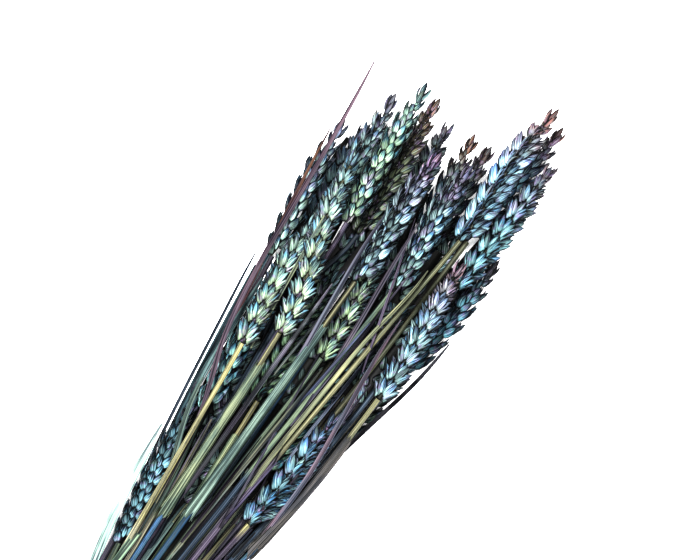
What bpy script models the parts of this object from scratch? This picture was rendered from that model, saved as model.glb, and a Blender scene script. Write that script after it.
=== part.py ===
"""A bunch of dyed, dried wheat lying on a table: ears, stems with leaf blades, and a raffia tie.

Lengths are in millimetres until a mesh is made. The bunch lies along +X, from the cut ends of the
stems to the tips of the ears, and the tie is at x = 0. "Across" runs towards -Y.
"""
import math
import random
from collections import namedtuple

import bmesh
import bpy
import numpy as np
from mathutils import Vector
from mathutils.geometry import convex_hull_2d

MM = 0.001
SHARP_ANGLE = 40.0       # degrees above which an edge stays crisp

# Stems
STEM_RADIUS = 1.5
SHEATH_RADIUS = 2.0
STEM_SIDES = 6
STEM_TAIL = 130.0        # from the tie to the cut ends
TAIL_SPREAD = 1.25       # how much wider than at the tie the cut ends lie
CUT_UNEVENNESS = 3.0
NECK_GAP = 0.4           # between a stem and its ear
NECK_TAPER = 0.85        # radius at the neck, as a share of the stem's
SHEATH_LIP, SHEATH_FADE = 0.6, 6.0     # lengths over which a sheath begins and ends
RING_ROOM = 4.0          # least distance between two cross-sections of a stem or blade
REACH = 8.0              # how far to each side a path is read to find its direction

# Ears
EAR_RADIUS = 6.7
SPIKELET_PITCH = 3.9     # from one spikelet to the next one, on the ear's other side
SPIKELET_LENGTH = 11.0
CORE_WIDTH = 2.4         # half the width of the axis that the spikelets grow from
CORE_THICKNESS = 0.9
EAR_FOOT = 1.5           # bare axis below the first spikelet
FOOT_SIZES = (0.55, 0.8)               # size of the axis at its two lowest cross-sections
APEX = 0.45              # how far the axis reaches into the last spikelet, as a share of its length
# Corners of a spikelet, as (across, outward, along), for one half of its width.
UNDER_CORNER = (4.0, 4.4, 3.6)
INNER_CORNER = (4.6, 1.5, 5.4)
OUTER_POINT, SIDE_NOTCH, MIDDLE_POINT = (5.5, 3.3, 9.4), (2.7, 4.9, 7.6), (0.0, 6.4, SPIKELET_LENGTH)

# Leaf blades
BLADE_HALF_WIDTH = 1.0
BLADE_HALF_THICKNESS = 0.35
BLADE_CLEARANCE = 1.15   # radius that a blade keeps free round its middle line
BLADE_ROOT_FREE = 30.0   # how far a blade may lie against its own stem

# Tie
TIE_ROWS = (5, 6, 7, 6, 5)
TIE_PITCH = 3.5          # between neighbouring stems in the tie
TIE_WIDTH = 10.0
TIE_THICKNESS = 1.2
TIE_GROOVE, TIE_GROOVE_HALF = 0.5, 0.3  # depth and half the width
TIE_GAP = 0.8            # between the stems and the band
TIE_POINTS = 24
ROUND_POINTS = 24        # points round each stem that the band's line is found from
TIE_MIDDLE = TIE_THICKNESS + TIE_GAP + STEM_RADIUS + (len(TIE_ROWS) - 1) / 2.0 * TIE_PITCH * math.sqrt(0.75)
KNOT_RADIUS = 3.2
KNOT_SHAPE = (1.0, 1.25, 0.7)
KNOT_PLACE = 2.0         # how far the knot sits to one side of the band's top
KNOT_TAIL = 14.0
TAIL_LEANS = (-0.75, 0.5)              # in radians from straight across
TAIL_HALF_WIDTH, TAIL_FLARE, TAIL_HALF_THICKNESS = 1.5, 0.3, 0.4
TAIL_ARCH, TAIL_CURVE = 2.6, 2.4

# How the bunch settles
STATION_STEP = 30.0
STATIONS = np.arange(-135.0, 346.0, STATION_STEP)
CHECKS = np.arange(-135.0, 345.1, 5.0)
TIE_STATIONS = (-15.0, 15.0)
GAP = 0.5                # least gap between two strands
SINK = 0.8               # how far the lowest ears may press into the table, which flattens them
SETTLE_ROUNDS = 900
STRIDE = 1.6             # share of a wanted move that one round makes
PULL, PULL_END = 0.12, 0.01            # pull of the ears towards their places, at first and at the end
STIFFNESS, STIFFNESS_END = 0.03, 0.004
EASE_SHARE = 0.75        # share of the rounds over which pull and stiffness fade
STEM_MOBILITY, EAR_MOBILITY, BLADE_MOBILITY = 1.0, 0.35, 2.0
START_ROOM, END_ROOM = 5.0, 2.0        # room kept beyond a strand's start and end
BLADE_HOLD = 20.0        # length of a blade's tip that is pulled to its place

Ear = namedtuple("Ear", "base tip height turn")
Blade = namedtuple("Blade", "stalk root tip height")
Strand = namedtuple("Strand", "start end ear_start radius mobility")

# Each ear's foot and tip as (along, across) from the tie, the height of its middle, and its turn:
# 0 shows both rows of spikelets from above, 90 shows one row face on.
EARS = (
    Ear(base=(278, 17), tip=(343, 24), height=40, turn=40),
    Ear(base=(262, 32), tip=(325, 36), height=30, turn=75),
    Ear(base=(208, 35), tip=(273, 28), height=35, turn=90),
    Ear(base=(246, 14), tip=(306, 10), height=38, turn=10),
    Ear(base=(241, -1), tip=(302, -4), height=40, turn=20),
    Ear(base=(207, -14), tip=(285, -31), height=40, turn=90),
    Ear(base=(258, -20), tip=(322, -24), height=34, turn=0),
    Ear(base=(195, -24), tip=(255, -29), height=31, turn=90),
    Ear(base=(164, -24), tip=(227, -27), height=24, turn=10),
    Ear(base=(137, 21), tip=(195, 21), height=26, turn=60),
    Ear(base=(156, 15), tip=(216, 15), height=20, turn=15),
    Ear(base=(256, 9), tip=(317, 3), height=25, turn=0),
    Ear(base=(257, -13), tip=(320, -17), height=22, turn=30),
    Ear(base=(280, 25), tip=(340, 31), height=19, turn=10),
    Ear(base=(248, -24), tip=(312, -34), height=21, turn=20),
    Ear(base=(254, -4), tip=(316, -9), height=14, turn=60),
    Ear(base=(258, 14), tip=(318, 11), height=8, turn=15),
    Ear(base=(235, -26), tip=(296, -37), height=6, turn=70),
    Ear(base=(208, 3), tip=(267, 1), height=24, turn=80),
    Ear(base=(179, -6), tip=(243, -9), height=20, turn=45),
    Ear(base=(222, 36), tip=(281, 40), height=19, turn=5),
    Ear(base=(100, -19), tip=(167, -27), height=17, turn=5),
    Ear(base=(136, -21), tip=(195, -25), height=6, turn=20),
    Ear(base=(230, -34), tip=(292, -41), height=20, turn=0),
    Ear(base=(202, 22), tip=(260, 21), height=10, turn=30),
    Ear(base=(184, 30), tip=(243, 33), height=6, turn=10),
    Ear(base=(116, 11), tip=(176, 13), height=6, turn=40),
    Ear(base=(124, -4), tip=(186, -3), height=6, turn=80),
    Ear(base=(212, -12), tip=(272, -14), height=6, turn=25),
)

# Stems that a leaf sheath still wraps, by the ear's place in the list: from where to where.
SHEATHS = {4: (128, 215), 5: (122, 190), 19: (100, 160), 10: (95, 140), 2: (130, 185)}

# Leaf blades: the stalk that each grows from, its root along that stem, its tip and its height there.
BLADES = (
    Blade(stalk=7, root=150, tip=(317, -46), height=42),
    Blade(stalk=23, root=185, tip=(286, -46), height=36),
    Blade(stalk=23, root=110, tip=(230, -43), height=20),
    Blade(stalk=4, root=190, tip=(270, -8), height=50),
    Blade(stalk=3, root=205, tip=(275, 4), height=49),
    Blade(stalk=2, root=125, tip=(240, 21), height=37),
    Blade(stalk=8, root=110, tip=(176, -33), height=32),
    Blade(stalk=0, root=140, tip=(262, 14), height=40),
    Blade(stalk=18, root=95, tip=(206, 8), height=36),
    Blade(stalk=12, root=120, tip=(236, -9), height=36),
    Blade(stalk=13, root=100, tip=(212, 27), height=32),
    Blade(stalk=20, root=135, tip=(243, 43), height=24),
    Blade(stalk=21, root=45, tip=(150, -31), height=17),
)

rng = random.Random(11)


def interpolation(stations, checks):
    """Weights that read a line through the stations at each check."""
    weights = np.zeros((len(checks), len(stations)))
    for row, x in enumerate(checks):
        left = int(np.clip((x - stations[0]) // STATION_STEP, 0, len(stations) - 2))
        share = (x - stations[left]) / STATION_STEP
        weights[row, left] = 1.0 - share
        weights[row, left + 1] = share
    return weights


READ = interpolation(STATIONS, CHECKS)


def ear_radius(share):
    """Room that an ear needs round its axis, from its foot (0) to its tip (1)."""
    foot = 0.6 + 0.4 * min(1.0, share / 0.12)
    tip = 1.0 - 0.6 * max(0.0, (share - 0.68) / 0.32) ** 1.4
    return EAR_RADIUS * min(foot, tip)


def stalk_strand(ear, sheath):
    """The room that a stem and its ear take at each check."""
    start = -STEM_TAIL + rng.uniform(-CUT_UNEVENNESS, CUT_UNEVENNESS)
    radius = np.zeros(len(CHECKS))
    for k, x in enumerate(CHECKS):
        if x < start - START_ROOM or x > ear.tip[0] + END_ROOM:
            continue
        if x < ear.base[0]:
            wrapped = sheath and sheath[0] - 3.0 <= x <= sheath[1] + 3.0
            radius[k] = SHEATH_RADIUS if wrapped else STEM_RADIUS
        else:
            radius[k] = ear_radius(min(1.0, (x - ear.base[0]) / (ear.tip[0] - ear.base[0])))
    mobility = np.where(CHECKS < ear.base[0] - REACH, STEM_MOBILITY, EAR_MOBILITY)
    return Strand(start, ear.tip[0], ear.base[0], radius, mobility)


def blade_strand(blade):
    """The room that a leaf blade takes at each check."""
    radius = np.where((CHECKS >= blade.root) & (CHECKS <= blade.tip[0]), BLADE_CLEARANCE, 0.0)
    return Strand(blade.root, blade.tip[0], None, radius, np.full(len(CHECKS), BLADE_MOBILITY))


def tie_places():
    """Places of the stems in the tie, row by row from the table up."""
    places = []
    for row, count in enumerate(TIE_ROWS):
        height = TIE_THICKNESS + TIE_GAP + STEM_RADIUS + row * TIE_PITCH * math.sqrt(0.75)
        places.append([((k - (count - 1) / 2.0) * TIE_PITCH, height) for k in range(count)])
    return places


def share_places(ears):
    """Gives each stalk a place in the tie: low ears in the low rows, then from side to side."""
    by_height = sorted(range(len(ears)), key=lambda i: ears[i].height)
    place_of = {}
    for row in tie_places():
        members, by_height = by_height[:len(row)], by_height[len(row):]
        members.sort(key=lambda i: -ears[i].base[1])
        for stalk, place in zip(members, row):
            place_of[stalk] = place
    return [place_of[i] for i in range(len(ears))]


def first_paths(ears, blades, places):
    """Straight first guess of every strand, as (y, z) at each station."""
    paths = []
    for ear, place in zip(ears, places):
        know_x = [STATIONS[0], TIE_STATIONS[0], TIE_STATIONS[1], ear.base[0], ear.tip[0]]
        tail = (place[0] * TAIL_SPREAD, TIE_MIDDLE + (place[1] - TIE_MIDDLE) * TAIL_SPREAD)
        know_y = [tail[0], place[0], place[0], -ear.base[1], -ear.tip[1]]
        know_z = [tail[1], place[1], place[1], ear.height, ear.height]
        paths.append(np.stack([np.interp(STATIONS, know_x, know_y),
                               np.interp(STATIONS, know_x, know_z)], axis=1))
    for blade in blades:
        root = np.array([np.interp(blade.root, STATIONS, paths[blade.stalk][:, k]) for k in (0, 1)])
        tip = np.array([-blade.tip[1], blade.height])
        share = np.clip((STATIONS - blade.root) / (blade.tip[0] - blade.root), 0.0, 1.3)
        paths.append(root + share[:, None] * (tip - root))
    return np.array(paths)


def allowed_pairs(strands, blades):
    """Which strands must stay apart at each check: all but a blade and its stem near the root."""
    count = len(strands)
    apart = np.ones((count, count, len(CHECKS)), dtype=bool)
    for i in range(count):
        apart[i, i] = False
    for k, blade in enumerate(blades):
        i, j = count - len(blades) + k, blade.stalk
        near = np.abs(CHECKS - blade.root) < BLADE_ROOT_FREE
        apart[i, j, near] = False
        apart[j, i, near] = False
    return apart


def push_apart(places, radius, mobility, apart):
    """How far each strand has to move at each check to be clear of the others."""
    gap = places[:, None] - places[None, :]
    distance = np.maximum(np.linalg.norm(gap, axis=3), 1e-6)
    present = (radius[:, None] > 0.0) & (radius[None, :] > 0.0) & apart
    overlap = np.where(present, radius[:, None] + radius[None, :] + GAP - distance, 0.0)
    overlap = np.maximum(overlap, 0.0)
    share = mobility[:, None] / (mobility[:, None] + mobility[None, :])
    return (gap / distance[..., None] * (overlap * share)[..., None]).sum(axis=1)


def settle(ears, blades, strands):
    """Lets the strands shift until each lies free of the others and above the table."""
    places = share_places(ears)
    paths = first_paths(ears, blades, places)
    wanted = np.einsum("cs,nsk->nck", READ, paths)
    radius = np.array([s.radius for s in strands])
    mobility = np.array([s.mobility for s in strands])
    apart = allowed_pairs(strands, blades)
    floor = np.where(radius > SHEATH_RADIUS, radius - SINK, radius)
    tie = [int(np.argmin(np.abs(STATIONS - x))) for x in TIE_STATIONS]
    stalks = len(ears)
    held = paths[:stalks][:, tie].copy()
    hold = np.zeros((len(strands), len(CHECKS), 1))
    for i, strand in enumerate(strands):
        first = strand.ear_start if strand.ear_start else strand.end - BLADE_HOLD
        hold[i, (CHECKS >= first) & (CHECKS <= strand.end)] = 1.0
    for step in range(SETTLE_ROUNDS):
        ease = max(0.0, 1.0 - step / (EASE_SHARE * SETTLE_ROUNDS))
        places_now = np.einsum("cs,nsk->nck", READ, paths)
        move = push_apart(places_now, radius, mobility, apart)
        move[..., 1] += np.maximum(0.0, floor - places_now[..., 1])
        move += (PULL_END + PULL * ease) * hold * (wanted - places_now)
        weight = READ.sum(axis=0)
        paths = paths + STRIDE * np.einsum("cs,nck->nsk", READ, move) / weight[None, :, None]
        bend = paths[:, :-2] - 2.0 * paths[:, 1:-1] + paths[:, 2:]
        paths[:, 1:-1] += (STIFFNESS_END + STIFFNESS * ease) * bend
        paths[:stalks, tie[0]] = held[:, 0]
        paths[:stalks, tie[1]] = held[:, 1]
        for k, blade in enumerate(blades):
            root = np.array([np.interp(blade.root, STATIONS, paths[blade.stalk][:, c]) for c in (0, 1)])
            own = np.array([np.interp(blade.root, STATIONS, paths[stalks + k][:, c]) for c in (0, 1)])
            near = np.exp(-((STATIONS - blade.root) / STATION_STEP) ** 2)
            paths[stalks + k] += near[:, None] * (root - own)
    return paths


def point_at(path, x):
    """A path's point at a given x."""
    return Vector((x, float(np.interp(x, STATIONS, path[:, 0])), float(np.interp(x, STATIONS, path[:, 1]))))


def frame_at(path, x, turn=0.0):
    """Point, direction and two cross directions of a path, turned about it."""
    ahead = (point_at(path, x + REACH) - point_at(path, x - REACH)).normalized()
    side = Vector((0.0, 0.0, 1.0)).cross(ahead).normalized()
    up = ahead.cross(side)
    c, s = math.cos(math.radians(turn)), math.sin(math.radians(turn))
    return point_at(path, x), ahead, side * c + up * s, up * c - side * s


def material(name, colour, roughness):
    """A plain finish of one colour."""
    mat = bpy.data.materials.new(name)
    mat.use_nodes = True
    shader = mat.node_tree.nodes["Principled BSDF"]
    shader.inputs["Base Color"].default_value = (*colour, 1.0)
    shader.inputs["Roughness"].default_value = roughness
    shader.inputs["Metallic"].default_value = 0.0
    mat.diffuse_color = (*colour, 1.0)
    return mat


def add_object(name, bm, mat):
    """Closes a bmesh in millimetres into an object in metres."""
    bmesh.ops.recalc_face_normals(bm, faces=bm.faces)
    bmesh.ops.scale(bm, vec=(MM, MM, MM), verts=bm.verts)
    mesh = bpy.data.meshes.new(name)
    bm.to_mesh(mesh)
    bm.free()
    mesh.shade_smooth()
    mesh.set_sharp_from_angle(angle=math.radians(SHARP_ANGLE))
    mesh.materials.append(mat)
    obj = bpy.data.objects.new(name, mesh)
    bpy.context.scene.collection.objects.link(obj)
    return obj


def loft(bm, rings):
    """Joins rings of points into a closed tube with flat ends."""
    loops = [[bm.verts.new(p) for p in ring] for ring in rings]
    for low, high in zip(loops, loops[1:]):
        for k in range(len(low)):
            n = (k + 1) % len(low)
            bm.faces.new((low[k], low[n], high[n], high[k]))
    bm.faces.new(list(reversed(loops[0])))
    bm.faces.new(loops[-1])


def ring_round(path, x, half_side, half_up, sides):
    """Points of an ellipse round a path."""
    centre, _, side, up = frame_at(path, x)
    angles = [2.0 * math.pi * k / sides for k in range(sides)]
    return [centre + side * half_side * math.cos(a) + up * half_up * math.sin(a) for a in angles]


def stem_mesh(path, strand, sheath):
    """A stem from its cut end to the neck under its ear, thicker where a sheath wraps it."""
    last = strand.ear_start - NECK_GAP
    stops = [(x, STEM_RADIUS) for x in STATIONS if strand.start + RING_ROOM < x < last - RING_ROOM]
    if sheath:
        stops = [(x, SHEATH_RADIUS if sheath[0] < x < sheath[1] else r) for x, r in stops]
        stops += [(sheath[0] - SHEATH_LIP, STEM_RADIUS), (sheath[0], SHEATH_RADIUS)]
        stops += [(sheath[1], SHEATH_RADIUS), (sheath[1] + SHEATH_FADE, STEM_RADIUS)]
    stops = sorted(stops + [(strand.start, STEM_RADIUS), (last, STEM_RADIUS * NECK_TAPER)])
    bm = bmesh.new()
    loft(bm, [ring_round(path, x, r, r, STEM_SIDES) for x, r in stops])
    return bm


def blade_mesh(path, blade):
    """A narrow dry leaf, from inside its stem to a fine tip."""
    inner = [x for x in STATIONS if blade.root + RING_ROOM < x < blade.tip[0] - RING_ROOM]
    stops = [blade.root] + inner + [blade.tip[0]]
    rings = []
    for x in stops:
        share = (x - blade.root) / (blade.tip[0] - blade.root)
        width = BLADE_HALF_WIDTH * (1.0 - 0.6 * share ** 2)
        rings.append(ring_round(path, x, width, BLADE_HALF_THICKNESS, 4))
    bm = bmesh.new()
    loft(bm, rings)
    return bm


def ear_mesh(path, strand, turn):
    """An ear: a flat axis with spikelets on alternate sides, each ending in three points."""
    first, last = strand.ear_start, strand.end
    length = (point_at(path, last) - point_at(path, first)).length
    count = int((length - EAR_FOOT - SPIKELET_LENGTH) / SPIKELET_PITCH) + 1
    pitch = (length - EAR_FOOT - SPIKELET_LENGTH) / (count - 1)

    def place(along, width, outward):
        """A point from its place along the ear, across its broad face and out of that face."""
        centre, _, across, out = frame_at(path, first + along / length * (last - first), turn + 90.0)
        return centre + across * width + out * outward

    bm = bmesh.new()

    def ring(along, size):
        """Four corners of the axis."""
        w, n = CORE_WIDTH * size, CORE_THICKNESS * size
        return [bm.verts.new(place(along, *corner)) for corner in ((w, n), (-w, n), (-w, -n), (w, -n))]

    def room(along):
        """Size of a spikelet there, as a share of a full one."""
        return ear_radius(min(1.0, along / length)) / EAR_RADIUS

    loops = [ring(0.0, FOOT_SIZES[0]), ring(EAR_FOOT, FOOT_SIZES[1])]
    bm.faces.new(loops[0])
    for k in range(4):
        bm.faces.new((loops[0][k], loops[0][(k + 1) % 4], loops[1][(k + 1) % 4], loops[1][k]))
    for level in range(count):
        foot = EAR_FOOT + level * pitch
        loops.append(ring(foot + pitch, min(1.0, room(foot + pitch))))
        low, high = loops[-2], loops[-1]
        outer = 0 if level % 2 else 2
        for k in range(4):
            if k != outer:
                bm.faces.new((low[k], low[(k + 1) % 4], high[(k + 1) % 4], high[k]))
        spikelet(bm, place, foot, room(foot + 0.6 * SPIKELET_LENGTH), 1 if outer == 0 else -1,
                 [low[outer], low[(outer + 1) % 4], high[(outer + 1) % 4], high[outer]])
    apex = bm.verts.new(place(EAR_FOOT + count * pitch + APEX * SPIKELET_LENGTH, 0.0, 0.0))
    for k in range(4):
        bm.faces.new((loops[-1][k], loops[-1][(k + 1) % 4], apex))
    return bm


def spikelet(bm, place, foot, size, out, base):
    """A plump fan of scales that grows from one face of the axis and ends in three points."""
    side = 1.0 if out > 0 else -1.0
    swell = rng.uniform(0.94, 1.0) * size
    low_right, low_left, high_left, high_right = base

    def corner(hand, spot):
        """A corner of the fan on its right (1) or left (-1) half."""
        width, outward, along = spot
        return bm.verts.new(place(foot + along * size, hand * side * width * swell, out * outward * swell))

    under_right, under_left = corner(1, UNDER_CORNER), corner(-1, UNDER_CORNER)
    inner_right, inner_left = corner(1, INNER_CORNER), corner(-1, INNER_CORNER)
    bm.faces.new((low_right, low_left, under_left, under_right))
    bm.faces.new((high_left, high_right, inner_right, inner_left))
    bm.faces.new((low_left, high_left, inner_left, under_left))
    bm.faces.new((high_right, low_right, under_right, inner_right))
    points = [corner(1, OUTER_POINT), corner(1, SIDE_NOTCH), corner(1, MIDDLE_POINT),
              corner(-1, SIDE_NOTCH), corner(-1, OUTER_POINT)]
    for right, left, reverse in ((under_right, under_left, False), (inner_right, inner_left, True)):
        fan = [(right, points[1], points[0]), (right, points[2], points[1]), (right, left, points[2]),
               (left, points[3], points[2]), (left, points[4], points[3])]
        for tri in fan:
            bm.faces.new(tri[::-1] if reverse else tri)
    bm.faces.new((under_right, points[0], inner_right))
    bm.faces.new((under_left, inner_left, points[4]))


def tie_outline():
    """The band's inner line: the outline of the stems in the tie, evenly divided."""
    cloud = []
    for row in tie_places():
        for y, z in row:
            for k in range(ROUND_POINTS):
                a = 2.0 * math.pi * k / ROUND_POINTS
                reach = STEM_RADIUS + TIE_GAP
                cloud.append(Vector((y + reach * math.cos(a), z + reach * math.sin(a))))
    hull = [cloud[k] for k in convex_hull_2d(cloud)]
    lengths = [(hull[k] - hull[k - 1]).length for k in range(1, len(hull))]
    total = sum(lengths) + (hull[0] - hull[-1]).length
    walked = np.cumsum([0.0] + lengths + [(hull[0] - hull[-1]).length])
    closed = hull + [hull[0]]
    spots = [(k + 0.5) * total / TIE_POINTS for k in range(TIE_POINTS)]
    return [Vector((np.interp(s, walked, [p.x for p in closed]),
                    np.interp(s, walked, [p.y for p in closed]))) for s in spots]


def tie_band():
    """Three flat turns of raffia side by side, as one band."""
    half, step = TIE_WIDTH / 2.0, TIE_WIDTH / 3.0
    section = [(-half, 0.0), (-half, TIE_THICKNESS)]
    for edge in (-step / 2.0, step / 2.0):
        section += [(edge - TIE_GROOVE_HALF, TIE_THICKNESS), (edge, TIE_THICKNESS - TIE_GROOVE),
                    (edge + TIE_GROOVE_HALF, TIE_THICKNESS)]
    section += [(half, TIE_THICKNESS), (half, 0.0)]
    line = tie_outline()
    bm = bmesh.new()
    loops = []
    for k, p in enumerate(line):
        along = (line[(k + 1) % len(line)] - line[k - 1]).normalized()
        out = Vector((along.y, -along.x))
        if out.dot(p - Vector((0.0, TIE_MIDDLE))) < 0.0:
            out = -out
        loops.append([bm.verts.new((x, p.x + out.x * h, p.y + out.y * h)) for x, h in section])
    for k, low in enumerate(loops):
        high = loops[(k + 1) % len(loops)]
        for j in range(len(section)):
            n = (j + 1) % len(section)
            bm.faces.new((low[j], low[n], high[n], high[j]))
    return bm


def tie_knot():
    """The knot on top of the band, with its two short ends."""
    top = max(p.y for p in tie_outline()) + TIE_THICKNESS
    bm = bmesh.new()
    ball = bmesh.ops.create_uvsphere(bm, u_segments=8, v_segments=6, radius=KNOT_RADIUS)
    bmesh.ops.scale(bm, vec=KNOT_SHAPE, verts=ball["verts"])
    bmesh.ops.translate(bm, vec=(0.0, KNOT_PLACE, top + 0.5 * KNOT_RADIUS), verts=ball["verts"])
    pieces = [bm]
    for lean in TAIL_LEANS:
        rings = []
        for k in range(4):
            share = k / 3.0
            reach = KNOT_TAIL * share
            centre = Vector((reach * math.sin(lean), KNOT_PLACE + reach * math.cos(lean),
                             top + 0.5 * KNOT_RADIUS + TAIL_ARCH * math.sin(TAIL_CURVE * share)))
            wide = Vector((math.cos(lean), -math.sin(lean), 0.0)) * (TAIL_HALF_WIDTH + TAIL_FLARE * share)
            thick = Vector((0.0, 0.0, TAIL_HALF_THICKNESS))
            rings.append([centre - wide - thick, centre + wide - thick, centre + wide + thick,
                          centre - wide + thick])
        tail = bmesh.new()
        loft(tail, rings)
        pieces.append(tail)
    return pieces


def fuse(obj, others):
    """Boolean union of an object with the others, which are then removed."""
    group = bpy.data.collections.new(obj.name + "_parts")
    bpy.context.scene.collection.children.link(group)
    for other in others:
        group.objects.link(other)
    union = obj.modifiers.new("union", "BOOLEAN")
    union.operation = "UNION"
    union.operand_type = "COLLECTION"
    union.collection = group
    union.solver = "EXACT"
    union.use_self = False
    bpy.context.view_layer.update()
    graph = bpy.context.evaluated_depsgraph_get()
    mesh = bpy.data.meshes.new_from_object(obj.evaluated_get(graph))
    obj.modifiers.clear()
    old = obj.data
    obj.data = mesh
    bpy.data.meshes.remove(old)
    for other in others:
        bpy.data.objects.remove(other)
    bpy.data.collections.remove(group)


def press_flat(obj, level):
    """Cuts off what lies below the table and closes the cut with a flat face."""
    if min(v.co.z for v in obj.data.vertices) > level:
        return
    bm = bmesh.new()
    bm.from_mesh(obj.data)
    cut = bmesh.ops.bisect_plane(bm, geom=bm.verts[:] + bm.edges[:] + bm.faces[:], dist=1e-7,
                                 plane_co=(0.0, 0.0, level), plane_no=(0.0, 0.0, -1.0), clear_outer=True)
    edges = [e for e in cut["geom_cut"] if isinstance(e, bmesh.types.BMEdge)]
    bmesh.ops.holes_fill(bm, edges=edges, sides=0)
    bmesh.ops.recalc_face_normals(bm, faces=bm.faces)
    bm.to_mesh(obj.data)
    bm.free()


def stand_on_origin(objects):
    """Moves everything so that the middle of its footprint is at the origin."""
    corners = np.array([v.co[:] for obj in objects for v in obj.data.vertices])
    low, high = corners.min(axis=0), corners.max(axis=0)
    shift = Vector((-(low[0] + high[0]) / 2.0, -(low[1] + high[1]) / 2.0, -low[2]))
    for obj in objects:
        for vertex in obj.data.vertices:
            vertex.co += shift


def main():
    for obj in list(bpy.data.objects):
        bpy.data.objects.remove(obj)
    scales = material("dyed_scales", (0.16, 0.33, 0.38), 0.6)
    straw = material("dyed_straw", (0.40, 0.40, 0.27), 0.5)
    raffia = material("raffia", (0.62, 0.50, 0.33), 0.7)

    strands = [stalk_strand(ear, SHEATHS.get(i)) for i, ear in enumerate(EARS)]
    strands += [blade_strand(blade) for blade in BLADES]
    paths = settle(EARS, BLADES, strands)

    objects = []
    for i, ear in enumerate(EARS):
        number = f"{i + 1:02d}"
        objects.append(add_object("ear_" + number, ear_mesh(paths[i], strands[i], ear.turn), scales))
        stem = add_object("stem_" + number, stem_mesh(paths[i], strands[i], SHEATHS.get(i)), straw)
        leaves = [add_object("leaf", blade_mesh(paths[len(EARS) + k], blade), straw)
                  for k, blade in enumerate(BLADES) if blade.stalk == i]
        if leaves:
            fuse(stem, leaves)
        objects.append(stem)

    tie = add_object("tie", tie_band(), raffia)
    fuse(tie, [add_object("tie_end", piece, raffia) for piece in tie_knot()])
    objects.append(tie)
    for obj in objects:
        press_flat(obj, 0.0)
    stand_on_origin(objects)


main()
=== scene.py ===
# A bunch of dyed, dried wheat on a pale table: straw, sheaths and leaves, ears, and a raffia tie.
# Sizes are in millimetres, in the bunch's own lay: x runs from the cut ends to the ears with 0 at the
# tie, across is towards -y, and the table is at z = 0. set_down() brings each piece into the frame.
import math
import random
from collections import namedtuple

import bmesh
import bpy
import numpy as np
from mathutils import Color, Matrix, Vector
from mathutils.geometry import convex_hull_2d


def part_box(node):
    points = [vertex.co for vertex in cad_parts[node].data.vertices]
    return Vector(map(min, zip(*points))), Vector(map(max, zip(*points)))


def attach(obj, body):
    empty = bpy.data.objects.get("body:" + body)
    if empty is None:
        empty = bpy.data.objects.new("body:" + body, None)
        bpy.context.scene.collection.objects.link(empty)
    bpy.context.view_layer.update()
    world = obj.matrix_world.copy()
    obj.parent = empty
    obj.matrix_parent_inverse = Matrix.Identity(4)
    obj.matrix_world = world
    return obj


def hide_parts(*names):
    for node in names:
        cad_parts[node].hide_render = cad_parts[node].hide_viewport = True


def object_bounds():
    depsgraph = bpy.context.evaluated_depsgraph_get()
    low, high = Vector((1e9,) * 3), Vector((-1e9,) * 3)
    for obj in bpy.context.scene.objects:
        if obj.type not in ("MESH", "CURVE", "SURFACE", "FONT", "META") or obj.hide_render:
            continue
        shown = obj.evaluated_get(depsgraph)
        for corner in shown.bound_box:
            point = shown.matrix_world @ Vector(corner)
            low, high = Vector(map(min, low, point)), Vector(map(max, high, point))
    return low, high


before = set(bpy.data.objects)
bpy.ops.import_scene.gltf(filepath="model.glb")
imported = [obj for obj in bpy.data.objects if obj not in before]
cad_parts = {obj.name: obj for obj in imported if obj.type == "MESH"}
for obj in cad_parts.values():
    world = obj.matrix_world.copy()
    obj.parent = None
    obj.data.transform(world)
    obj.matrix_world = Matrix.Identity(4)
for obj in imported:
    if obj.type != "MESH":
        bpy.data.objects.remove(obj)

cad_low, cad_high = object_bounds()

# Straw: 29 hollow stems of dried wheat, ribbed along their length, with a swollen joint or two.
# They were gathered by hand, so they lie pressed against each other, and the tie holds them.
# The lay of the stems, ears and leaves is worked out as in the part's source.

MM = 0.001
STEM_RADIUS = 1.5
SHEATH_RADIUS = 2.0
STEM_TAIL = 130.0  # from the tie to the cut ends
TAIL_SPREAD = 1.25
CUT_UNEVENNESS = 3.0
EAR_RADIUS = 6.7
BLADE_CLEARANCE = 1.15
BLADE_ROOT_FREE = 30.0
TIE_ROWS = (5, 6, 7, 6, 5)
TIE_PITCH = 3.5
TIE_THICKNESS = 1.2
TIE_GAP = 0.8
ROW_RISE = TIE_PITCH * math.sqrt(0.75)
TIE_FLOOR = TIE_THICKNESS + TIE_GAP + STEM_RADIUS
TIE_MIDDLE = TIE_FLOOR + (len(TIE_ROWS) - 1) / 2.0 * ROW_RISE
STATION_STEP = 30.0
STATIONS = np.arange(-135.0, 346.0, STATION_STEP)
CHECKS = np.arange(-135.0, 345.1, 5.0)
TIE_STATIONS = (-15.0, 15.0)
GAP = 0.5
SINK = 0.8
SETTLE_ROUNDS = 900
STRIDE = 1.6
PULL, PULL_END = 0.12, 0.01
STIFFNESS, STIFFNESS_END = 0.03, 0.004
SHARP_ANGLE = 55.0  # edges bent more than this stay sharp
EAR_MOBILITY, BLADE_MOBILITY = 0.35, 2.0  # how readily they give way, against 1 for a stem

Ear = namedtuple("Ear", "base tip height turn")
Blade = namedtuple("Blade", "stalk root tip height")
Strand = namedtuple("Strand", "start end ear_start radius mobility")

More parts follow.
